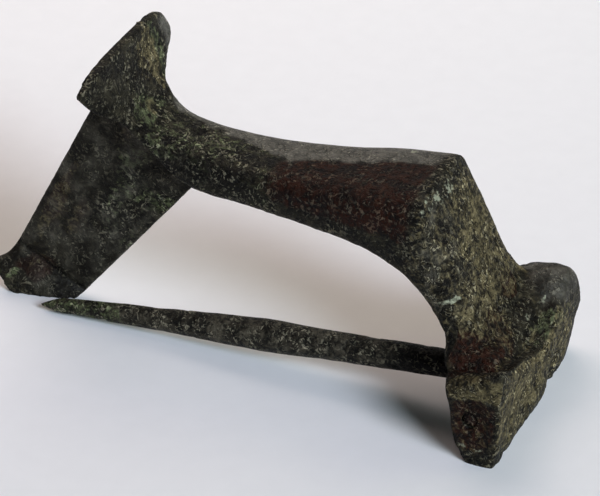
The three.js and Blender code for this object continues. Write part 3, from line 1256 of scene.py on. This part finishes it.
        ends = step(0.5, 0.9, -normals[:, 1]) * step(-6.0, -6.8, y)
        dish = np.hypot((x + 1.1) / 1.05, (z - 3.25) / 1.2)
        shift[:, 1] += wear.dish * ends * step(1.25, 0.5, dish)
        rear = step(0.2, 0.6, -normals[:, 0]) * step(-5.0, -6.6, y) * step(-4.5, -3.5, x)
        shift[:, 0] -= wear.rear_bulge * rear * bell(z - 1.6, 1.2)

        outer = step(0.3, 0.8, normals[:, 0]) * step(-1.0, -0.3, x)
        for rise, at_y, wide, at_z, tall in self.outer_lumps:
            shift[:, 0] += rise * outer * bell(y - at_y, wide) * bell(z - at_z, tall)
        return shift

    def blotches(self) -> list[Blotch]:
        """Where the body's tones lie, apart from those of the bow: a Blotch's other values, by tone.

        Returns:
            The blotches.
        """
        near, outward, up = (0.0, -1.0, 0.0), (1.0, 0.0, 0.0), (0.0, 0.0, 1.0)
        slope = (1.0, 0.0, 0.5)
        anyway = (0.0, 0.0, 0.0)
        spots = {
            Tone.CUPRITE: (
                ((-1.9, -3.4, 5.8), (1.9, 3.0, 1.4), (0.4, 0.1, 1.0), 0.95),
                ((-1.3, -7.2, 2.7), (1.5, 0.9, 1.9), near, 1.0),
                ((-2.5, 1.6, 6.7), (0.9, 1.0, 0.9), slope, 0.9),
                ((-33.0, -0.6, 1.7), (1.5, 1.2, 0.8), near, 0.7),
                ((-25.9, 0.6, 17.0), (0.6, 1.2, 1.0), slope, 0.4),
            ),
            Tone.VERDIGRIS: (
                ((-25.8, 2.9, 17.1), (1.2, 0.9, 2.0), slope, 0.7),
                ((-24.6, -0.3, 14.9), (1.4, 1.7, 0.9), slope, 0.6),
                ((-23.3, -1.9, 13.7), (1.6, 1.2, 0.9), anyway, 0.45),
                ((-34.4, -0.5, 1.0), (0.8, 1.0, 0.55), near, 0.95),
                ((-25.0, -0.3, 8.4), (2.0, 1.0, 0.9), near, 0.5),
                ((-26.3, -0.3, 11.3), (1.3, 1.0, 1.0), near, 0.4),
                ((0.3, 2.2, 4.6), (0.8, 2.6, 0.6), anyway, 0.65),
            ),
            Tone.CRUST: (
                ((-4.2, 1.4, 9.8), (3.6, 3.4, 4.2), slope, 0.72, 1.2),
                ((-3.2, -1.8, 7.4), (1.6, 3.2, 1.8), slope, 0.75, 1.0),
                ((-1.8, -1.9, 5.8), (1.2, 1.8, 1.2), slope, 0.5, 1.2),
                ((0.5, -3.4, 3.4), (1.2, 4.0, 3.3), outward, 0.95),
                ((0.5, 2.2, 2.6), (1.2, 3.4, 3.0), outward, 0.6, 0.8),
                ((-1.0, -7.1, 5.4), (2.6, 0.9, 1.0), (0.0, -0.8, 0.6), 0.8),
                ((-1.0, -7.2, 2.6), (2.4, 0.9, 3.4), near, 0.2),
                ((-2.6, 4.1, 6.6), (0.6, 0.7, 0.8), anyway, 1.0, 0.9),
                ((-25.8, 2.2, 17.2), (1.3, 0.8, 1.9), slope, 1.0, 0.9),
                ((-25.9, 0.6, 17.3), (0.8, 0.9, 1.2), slope, 0.45, 0.9),
                ((-24.6, 0.2, 15.0), (0.8, 0.7, 1.1), slope, 0.6, 0.9),
            ),
            Tone.SMOOTH: (
                ((-25.8, -3.2, 17.0), (2.0, 2.0, 1.4), slope, 0.4),
                ((-0.6, 4.6, 5.9), (2.2, 2.8, 1.7), anyway, 0.8),
            ),
            Tone.RUB_AND_SHEEN: (
                ((-25.7, 5.2, 17.6), (1.2, 1.1, 2.1), slope, 0.7, 1.0),
                ((-0.4, 4.8, 5.9), (1.9, 2.3, 1.5), anyway, 0.48, 0.9),
                ((-25.8, -3.4, 17.0), (1.6, 2.2, 1.5), slope, 0.15, 1.0),
            ),
            Tone.DARK: (
                ((-26.2, -1.6, 18.2), (0.6, 0.9, 0.7), slope, 0.45),
                ((-26.4, -3.2, 18.6), (0.8, 0.9, 0.5), anyway, 0.6),
                ((-1.1, -7.2, 3.25), (0.7, 0.7, 0.7), anyway, 0.35),
                # A painted shade low on the bow's near side, above the arch.
                ((-20.5, -2.0, 12.2), (5.0, 2.2, 1.8), near, 0.55, 1.0),
                ((-23.15, -1.75, 13.9), (0.4, 0.5, 0.5), anyway, 1.0),
                ((-30.4, -0.5, 0.6), (1.2, 1.2, 0.7), anyway, 0.6),
            ),
            Tone.CHIP: (
                ((-4.05, -3.85, 8.4), (0.62, 0.45, 0.2), anyway, 0.62),
                ((-0.57, 2.8, 5.8), (0.3, 0.35, 0.3), anyway, 0.4),
                ((-0.6, 1.3, 5.2), (0.25, 0.3, 0.3), anyway, 0.4),
                ((-24.0, -0.3, 8.9), (0.3, 0.8, 0.2), near, 0.4),
                ((-1.9, -7.2, 1.3), (0.3, 0.5, 0.2), near, 0.35),
                ((-0.9, -7.2, 1.1), (0.25, 0.5, 0.15), near, 0.35),
                ((-8.4, 1.95, 14.1), (0.5, 0.25, 0.4), up, 0.3),
            ),
        }
        return [Blotch(tone, *spot) for tone, each in spots.items() for spot in each]

    def bow_marks(self, points: Array, normals: Array, region: dict[str, Array]) -> dict[str, Array]:
        """The tones of the bow, which follow its length.

        Its far side and top are rubbed grey, worn smooth and lighter there as a painted sheen, up to a line
        that wanders along the top. From there the red runs over the near shoulder to half way down the side,
        from the waist to the knee. Beyond it the ground shows. Chips are scattered along the knee's crease.

        Args:
            points: the vertices.
            normals: the outward direction at each.
            region: the body's regions.

        Returns:
            Marks by name.
        """
        x, y, z = points.T
        wander = Grain(5).fractal(points, 1.6, 4)
        edge = np.interp(x, [-24.0, -18.8, -15.5, -13.0, -10.0, -6.0], [1.6, 0.5, -0.7, -0.1, 0.4, 1.1])
        on_bow = np.maximum(region["bow"], region["neck"])
        # Worn smooth along the far, upward-facing side, and lighter there as a painted sheen.
        rub = on_bow * step(-0.4, 0.5, y - edge + 0.9 * wander) * step(-0.2, 0.3, normals[:, 2])
        red = on_bow * step(-16.8, -15.2, x + wander) * step(11.5, 12.3, z + 0.8 * wander)
        red = red * step(-5.9, -6.4, x) * (1 - rub) * step(-0.6, -0.1, normals[:, 2] - normals[:, 1])
        green = on_bow * step(-15.0, -17.0, x + wander) * (1 - rub) * (0.2 + 0.5 * wander)
        line = -5.66 - 0.0088 * np.clip(0.4 - y, 0.0, 5.0) ** 3
        crease = np.exp(-(((x - line) / 0.19) ** 2)) * step(12.6, 13.0, z)
        scattered = step(0.0, 0.3, Grain(6).fractal(points, 0.3, 3))
        chips = crease * step(-4.4, -3.6, y) * step(0.8, -0.4, y) * scattered
        grey = region["shin"] * step(-0.4, -1.6, y + wander)
        return {
            Tone.RUB_AND_SHEEN.value: np.maximum(rub, 0.25 * grey),
            Tone.CRUST.value: 0.3 * grey,
            Tone.CUPRITE.value: red,
            Tone.VERDIGRIS.value: np.clip(green, 0, 1),
            Tone.CHIP.value: chips,
        }

    def plate_marks(self, points: Array, plate: Array) -> dict[str, Array]:
        """The tones of the catch plate: streaks of red and brown from top to bottom, and calm grain.

        A streak is unevenness stretched four times along the outer edge. All of the plate is a little rubbed.
        Flecks are left between the middle and the inner edge. A dark band runs down inside that edge, and a
        dark line along the fold, a painted shade in its crease; each is a bell curve across it.

        Args:
            points: the vertices.
            plate: how far each lies on the plate.

        Returns:
            Marks by name.
        """
        x, y, z = points.T
        (x0, z0), (x1, z1) = self.plate_outer
        edge = np.array([x1 - x0, z1 - z0]) / math.hypot(x1 - x0, z1 - z0)
        down = (x - x0) * edge[0] + (z - z0) * edge[1]
        over = (z - z0) * edge[0] - (x - x0) * edge[1]
        streak = Grain(8).fractal(np.stack([down / 4, over, y], axis=1), 1.0, 4)
        (ix0, iz0), (ix1, iz1) = self.plate_inner
        inner = np.array([ix1 - ix0, iz1 - iz0]) / math.hypot(ix1 - ix0, iz1 - iz0)
        inside = np.abs((x - ix0) * inner[1] - (z - iz0) * inner[0])
        red = plate * step(3.8, 2.0, over) * step(-0.3, 0.3, streak)
        brown = plate * step(0.1, 0.5, streak) * step(12.0, 15.5, down) * step(4.0, 2.0, over)
        speckled = step(5.4, 6.6, down) * step(12.2, 11.0, down) * step(2.8, 3.8, over)
        band = np.exp(-(((inside - 0.9) / 0.45) ** 2)) * step(6.0, 9.0, down)
        # A painted shade along the crease of the fold.
        fold = np.exp(-((self.below_fold(x, z) / 0.14) ** 2)) * step(-30.6, -31.2, x)
        return {
            Tone.CUPRITE.value: 0.8 * red * step(15.5, 12.0, down),
            Tone.CRUST.value: np.maximum(0.35 * brown, 0.42 * red),
            Tone.RUB_AND_SHEEN.value: plate * (0.32 + 0.12 * streak),
            Tone.SMOOTH.value: 0.7 * plate * (1.0 - 0.9 * speckled),
            Tone.VERDIGRIS.value: 0.3 * plate * speckled * step(-0.2, 0.3, streak),
            Tone.DARK.value: plate * np.maximum(0.45 * band, 0.75 * fold),
        }

    def dressed(self) -> tuple[Skin, dict[str, Array]]:
        """The fused forms with their relief, and the marks of their finish.

        The skin is relaxed so that its arrises are worn round, and the top of the +Y ear is
        relaxed further. Each vertex then moves along its outward direction by the sum of broad
        unevenness, roughness and corrosion pits, weighed by region, and the outer face sinks
        where it has broken away in chunks. Pits and deep chunks are dark. What would pass the
        floor or the brooch's own limits is held at them.

        Returns:
            The skin and its marks.
        """
        skin = fused([self.bow(), self.plate(), self.head()], self.cutters(), self.grain).relaxed(6)
        x, y, z = skin.points.T
        lobe = step(2.6, 4.6, y) * step(3.4, 4.8, z) * step(3.4, 2.0, -x)
        skin = skin.relaxed(self.lobe_rounds, 1.0 - lobe)
        skin.points += self.hollows(skin.points, skin.normals())
        points, normals = skin.points, skin.normals()
        x, y, z = points.T

        region = self.regions(points)
        marks = painted(self.blotches(), points, normals)
        for more in (self.bow_marks(points, normals, region), self.plate_marks(points, region["plate"])):
            for name, values in more.items():
                marks[name] = np.maximum(marks[name], values)

        lip = step(16.7, 17.6, z - self.foot_bulge * (1 - np.abs(y / self.stations[0].half) ** 3))
        smooth = (1.0 - 0.85 * marks[Tone.RUB_AND_SHEEN.value]) * (1.0 - 0.85 * lip)
        rougher = 0.7 * region["neck"] + 0.3 * region["foot"] + 0.3 * region["head"] - 0.3 * region["plate"]
        coarse = smooth * (0.5 + rougher)
        relief = self.relief
        height = relief.swell * Grain(1).fractal(points, 3.0, 3) * (1 - 0.6 * region["plate"])
        height += relief.rough * coarse * Grain(2).fractal(points, 0.8, 3)
        height += relief.fine * smooth * Grain(7).fractal(points, 0.36, 2)
        pits, small = Grain(3).pits(points, 1.0, 0.35), Grain(4).pits(points, 0.55, 0.45)
        height -= coarse * (relief.pit * pits + relief.small_pit * small)
        outer = step(0.2, 0.7, normals[:, 0]) * step(-1.2, -0.5, x) * step(4.2, 2.6, y)
        chunks = 0.5 - 0.5 * Grain(9).fractal(points, 0.9, 3)
        height -= relief.chunk * outer * chunks

        broken_away = outer * step(0.58, 0.78, chunks)
        hollow = np.maximum(step(0.15, 0.8, coarse * np.maximum(pits, small)), broken_away)
        marks[Tone.DARK.value] = np.maximum(marks[Tone.DARK.value], 0.75 * hollow)
        lowest, highest = self.limits
        least, most = np.maximum(points.min(axis=0), lowest), np.minimum(points.max(axis=0), highest)
        moved = np.clip(points + normals * height[:, None], least, most)
        return Skin(moved, skin.quads, skin.triangles), marks

    def make(self, finish: Patina) -> bpy.types.Object:
        """Builds, finishes and places the body.

        Args:
            finish: what it is finished with.

        Returns:
            The piece.
        """
        made = finished_object("bronze_brooch_body", *self.dressed(), finish)
        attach(made, "brooch")
        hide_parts("brooch_body")
        return made


# ---- The hinge ------------------------------------------------------------------------------


@dataclass
class HingeBar:
    """The iron bar through the head: a rod swollen and scaled by rust.

    Attributes:
        axis: the hinge, as (x, z).
        radius: of the sound bar.
        half_length: half its length.
        scale: how far the rust lifts.
        bloom: how far the rust swells at each end, where it fills the bore.
    """

    axis: tuple[float, float] = (-1.3, 2.95)
    radius: float = 0.43
    half_length: float = 7.05
    scale: float = 0.05
    bloom: float = 0.2

    def skin(self) -> Skin:
        """Circles along Y, wider towards both ends, where they round off, and all swollen unevenly.

        The radius grows by a soft step towards an end, and over the last 0.3 it falls as a
        quarter ellipse.

        Returns:
            The closed skin.
        """
        y = self.half_length * np.sin(np.linspace(-0.5, 0.5, 180) * np.pi)
        angle = np.linspace(0.0, 2.0 * np.pi, 40, endpoint=False)
        from_end = np.clip((self.half_length - np.abs(y)) / 0.3, 0.0, 1.0)
        swollen = self.radius + self.bloom * step(5.4, 6.4, np.abs(y))
        radius = swollen * np.sqrt(1 - (1 - from_end) ** 2 * 0.95)
        circle = np.broadcast_arrays(-np.sin(angle)[None], 0.0 * y[:, None], np.cos(angle)[None])
        ring = np.stack(circle, axis=-1)
        spine = y[:, None, None] * np.array([0, 1, 0])
        rust = Grain(91).fractal((ring * self.radius + spine).reshape(-1, 3), 0.7, 4).reshape(len(y), -1)
        points = ring * (radius[:, None] + self.scale * (rust - 0.7))[..., None]
        return Skin.lofted(points + (spine + np.array([self.axis[0], 0.0, self.axis[1]])))

    def make(self, finish: Patina) -> bpy.types.Object:
        """Builds, finishes and places the bar.

        Args:
            finish: what it is finished with.

        Returns:
            The piece.
        """
        skin = self.skin()
        marks = {tone.value: np.zeros(len(skin.points)) for tone in Tone}
        marks[Tone.CUPRITE.value] += 0.6
        made = finished_object("iron_hinge_bar", skin, marks, finish)
        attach(made, "brooch")
        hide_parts("hinge_axis")
        return made


@dataclass
class HingedPin:
    """The pin: a knuckle bored for the bar, and a nearly straight shank that thins to its point.

    Attributes:
        axis: the hinge, as (x, z).
        middle: the knuckle's middle, along Y.
        tip: the point of the pin.
        start: how far from the axis the shank grows out of the knuckle.
        girth: the shank's radius at each of several distances from its point.
        knuckle: the knuckle's radius.
        knuckle_bore: its bore's radius.
        knuckle_width: its width.
        bend: how far the shank bows towards +Y.
        hook: how far its point turns towards -Y.
        hook_length: the length over which it does.
        least_height: how near the floor it comes.
        swell: how far corrosion lifts and sinks it.
        pit: how deep its pits are.
        grain: the side of the skin's faces.
    """

    axis: tuple[float, float] = (-1.3, 2.95)
    middle: float = -1.6
    tip: Point = (-31.6, -2.25, 0.45)
    start: float = 0.85
    girth: tuple[tuple[float, float], ...] = (
        (0.0, 0.1),
        (1.2, 0.5),
        (4.5, 0.62),
        (8.6, 0.75),
        (14.8, 1.05),
        (21.0, 0.9),
        (28.0, 0.9),
        (29.5, 0.78),
    )
    knuckle: float = 1.18
    knuckle_bore: float = 0.72
    knuckle_width: float = 2.2
    bend: float = 0.06
    hook: float = 0.3
    hook_length: float = 1.5
    least_height: float = 0.02
    swell: float = 0.06
    pit: float = 0.10
    grain: float = 0.1

    def shank(self) -> Skin:
        """Circles carried along a line, their radii drawn between those of the girth.

        Each radius is then the mean of those within half a millimetre along the shank. At the
        share t of its length the line bows by sin(pi t^1.5), and towards the point it turns the
        other way by exp(-distance from the point / length of the hook).

        Returns:
            The closed skin.
        """
        origin = np.array([self.axis[0], self.middle, self.axis[1]])
        along = np.array(self.tip) - origin
        length = float(np.linalg.norm(along))
        along /= length
        side = np.cross([0.0, 0.0, 1.0], along)
        side /= np.linalg.norm(side)
        up = np.cross(along, side)
        reach = np.linspace(self.start, length, 400)
        near = np.linspace(-0.5, 0.5, 21)
        from_point = length - reach[:, None] + near * np.minimum(1.0, (length - reach[:, None]) / 1.2)
        distances, radii = np.array(self.girth).T
        radius = np.interp(from_point, distances, radii).mean(axis=1)
        angle = np.linspace(0.0, 2.0 * np.pi, 64, endpoint=False)
        ring = np.cos(angle)[:, None] * side + np.sin(angle)[:, None] * up
        bend = np.sin(np.pi * (reach / length) ** 1.5) * self.bend
        bend -= self.hook * np.exp((reach - length) / self.hook_length)
        spine = origin + reach[:, None] * along + bend[:, None] * np.array([0.0, 1.0, 0.0])
        return Skin.lofted(spine[:, None] + radius[:, None, None] * ring[None])

    def collar(self) -> Skin:
        """The knuckle: a rectangle with rounded corners turned about the hinge.

        Returns:
            The closed skin.
        """
        turn = np.linspace(0.0, 2.0 * np.pi, 96, endpoint=False)
        round_it = np.linspace(0.0, 2.0 * np.pi, 40, endpoint=False)
        middle, half = (self.knuckle + self.knuckle_bore) / 2, (self.knuckle - self.knuckle_bore) / 2
        radius = middle + half * signed_power(np.cos(round_it), 0.4)
        y = self.middle + self.knuckle_width / 2 * signed_power(np.sin(round_it), 0.3)
        x = self.axis[0] + np.sin(turn)[:, None] * radius[None]
        z = self.axis[1] + np.cos(turn)[:, None] * radius[None]
        return Skin.hooped(np.stack([x, np.broadcast_to(y[None], x.shape), z], axis=-1))

    def dressed(self) -> tuple[Skin, dict[str, Array]]:
        """The fused pin with its corroded relief, and the marks of its finish.

        Outside the slot each vertex moves along its outward direction by unevenness less pits.

        Returns:
            The skin and its marks.
        """
        skin = fused([self.shank(), self.collar()], [], self.grain).relaxed(2)
        points, normals = skin.points, skin.normals()
        height = self.swell * Grain(11).fractal(points, 1.6, 4) - self.swell / 2
        height -= self.pit * Grain(12).pits(points, 0.8, 0.5)
        height *= step(-2.6, -4.5, points[:, 0])
        moved = points + normals * height[:, None]
        moved[:, 2] = np.maximum(moved[:, 2], self.least_height)
        in_shade = Blotch(Tone.DARK, (-3.5, -1.6, 2.6), (6.0, 2.0, 2.0), strength=0.8)
        at_point = Blotch(Tone.VERDIGRIS, (-29.0, -2.0, 0.7), (3.5, 2.0, 2.0), strength=0.5)
        return Skin(moved, skin.quads, skin.triangles), painted((in_shade, at_point), points, normals)

    def make(self, finish: Patina) -> bpy.types.Object:
        """Builds, finishes and places the pin.

        Args:
            finish: what it is finished with.

        Returns:
            The piece.
        """
        made = finished_object("bronze_pin", *self.dressed(), finish)
        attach(made, "pin")
        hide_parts("pin")
        return made


# ---- The studio -----------------------------------------------------------------------------


@dataclass(frozen=True)
class Lamp:
    """A square soft light.

    Attributes:
        name: what it stands for.
        bearing: where it stands, in degrees from +X towards +Y.
        height: how high, in degrees above the floor.
        power: in watts.
        distance: from the floor's middle, in metres.
        size: of its side, in metres.
        colour: of its light.
    """

    name: str
    bearing: float
    height: float
    power: float
    distance: float
    size: float
    colour: Colour


@dataclass
class Studio:
    """A pale floor, soft light and the camera.

    Attributes:
        aim: the point on the floor the camera looks at, in metres.
        azimuth, elevation: the camera's bearing and height above the horizon, in degrees.
        distance: from the camera to its aim, in metres.
        lens: the camera's focal length in millimetres, on a 36 mm sensor.
        lamps: the soft lights.
        sky: how strong the even light from all round is.
    """

    aim: Point = (-0.002345, 0.010581, 0.0)
    azimuth: float = 23.57
    elevation: float = 32.0
    distance: float = 0.224
    lens: float = 210.0
    lamps: tuple[Lamp, ...] = (
        Lamp("window", 330.0, 30.0, 8.0, 1.0, 0.40, (0.74, 0.92, 1.0)),
        Lamp("window_head", 335.0, 35.0, 1.9, 0.70, 0.28, (0.88, 0.78, 1.0)),
        Lamp("far_wall", 130.0, 55.0, 0.11, 0.14, 0.12, (1.0, 0.82, 0.76)),
        Lamp("far_window", 110.0, 35.0, 0.016, 0.13, 0.10, (0.80, 1.0, 1.0)),
        Lamp("side_wall", 30.0, 28.0, 0.10, 0.33, 0.14, (0.95, 1.0, 0.50)),
    )
    sky: float = 0.02

    def camera(self) -> bpy.types.Object:
        """The camera, pointed at its aim.

        Returns:
            The camera, linked to the scene.
        """
        turn, lift = math.radians(self.azimuth), math.radians(self.elevation)
        back = Vector((math.sin(turn) * math.cos(lift), -math.cos(turn) * math.cos(lift), math.sin(lift)))
        lens = bpy.data.cameras.new("camera")
        lens.lens, lens.sensor_width = self.lens, 36.0
        lens.clip_start, lens.clip_end = 0.01, 10.0
        made = bpy.data.objects.new("camera", lens)
        made.location = Vector(self.aim) + back * self.distance
        made.rotation_euler = (-back).to_track_quat("-Z", "Y").to_euler()
        bpy.context.scene.collection.objects.link(made)
        bpy.context.scene.camera = made
        return made

    def floor(self) -> bpy.types.Object:
        """A sheet of pale paper, very slightly uneven in tone.

        Returns:
            The sheet.
        """
        side = 2.0
        mesh = bpy.data.meshes.new("floor")
        corners = np.array([(-side, -side, 0), (side, -side, 0), (side, side, 0), (-side, side, 0)])
        mesh.from_pydata(corners.tolist(), [], [(0, 1, 2, 3)])
        made = bpy.data.objects.new("floor", mesh)
        bpy.context.scene.collection.objects.link(made)
        paper = bpy.data.materials.new("pale_paper")
        paper.use_nodes = True
        bench = Bench(paper.node_tree)
        shader = paper.node_tree.nodes["Principled BSDF"]
        place = bench.node("ShaderNodeTexCoord").outputs["Object"]
        tone = bench.blend(bench.noise(place, 1.5, 6.0), (0.80, 0.80, 0.80), (0.84, 0.84, 0.84))
        bench.feed(shader.inputs["Base Color"], tone)
        shader.inputs["Roughness"].default_value = 0.9
        shader.inputs["Specular IOR Level"].default_value = 0.2
        mesh.materials.append(paper)
        return made

    def light(self, lamp: Lamp) -> bpy.types.Object:
        """A square soft light that looks at the brooch. The camera never sees the lamp itself.

        Args:
            lamp: the lamp to stand up.

        Returns:
            The light, linked to the scene.
        """
        turn, lift = math.radians(lamp.bearing), math.radians(lamp.height)
        way = Vector((math.cos(lift) * math.cos(turn), math.cos(lift) * math.sin(turn), math.sin(lift)))
        source = bpy.data.lights.new(lamp.name, "AREA")
        source.size, source.energy, source.color = lamp.size, lamp.power, lamp.colour
        made = bpy.data.objects.new(lamp.name, source)
        made.location = way * lamp.distance
        made.rotation_euler = way.to_track_quat("Z", "Y").to_euler()
        made.visible_camera = False
        bpy.context.scene.collection.objects.link(made)
        return made

    def make(self) -> None:
        """Sets the stage: floor, lights, sky and camera."""
        self.floor()
        for lamp in self.lamps:
            self.light(lamp)
        sky = bpy.data.worlds.new("sky")
        sky.use_nodes = True
        sky.node_tree.nodes["Background"].inputs["Color"].default_value = (1.0, 1.0, 1.0, 1.0)
        sky.node_tree.nodes["Background"].inputs["Strength"].default_value = self.sky
        bpy.context.scene.world = sky
        bpy.context.scene.view_settings.view_transform = "Standard"
        self.camera()


# ---- Building -------------------------------------------------------------------------------


def main() -> None:
    """Builds the brooch and its stage, and reports each piece."""
    logging.basicConfig(level=logging.INFO, format="%(name)s: %(message)s")
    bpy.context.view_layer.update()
    pieces = [
        BroochBody().make(BURIED_BRONZE),
        HingeBar().make(RUSTED_IRON),
        HingedPin().make(CORRODED_PIN),
    ]
    for piece in pieces:
        LOG.info("%s: %d vertices, %d faces", piece.name, len(piece.data.vertices), len(piece.data.polygons))
    Studio().make()


if __name__ == "__main__":
    main()
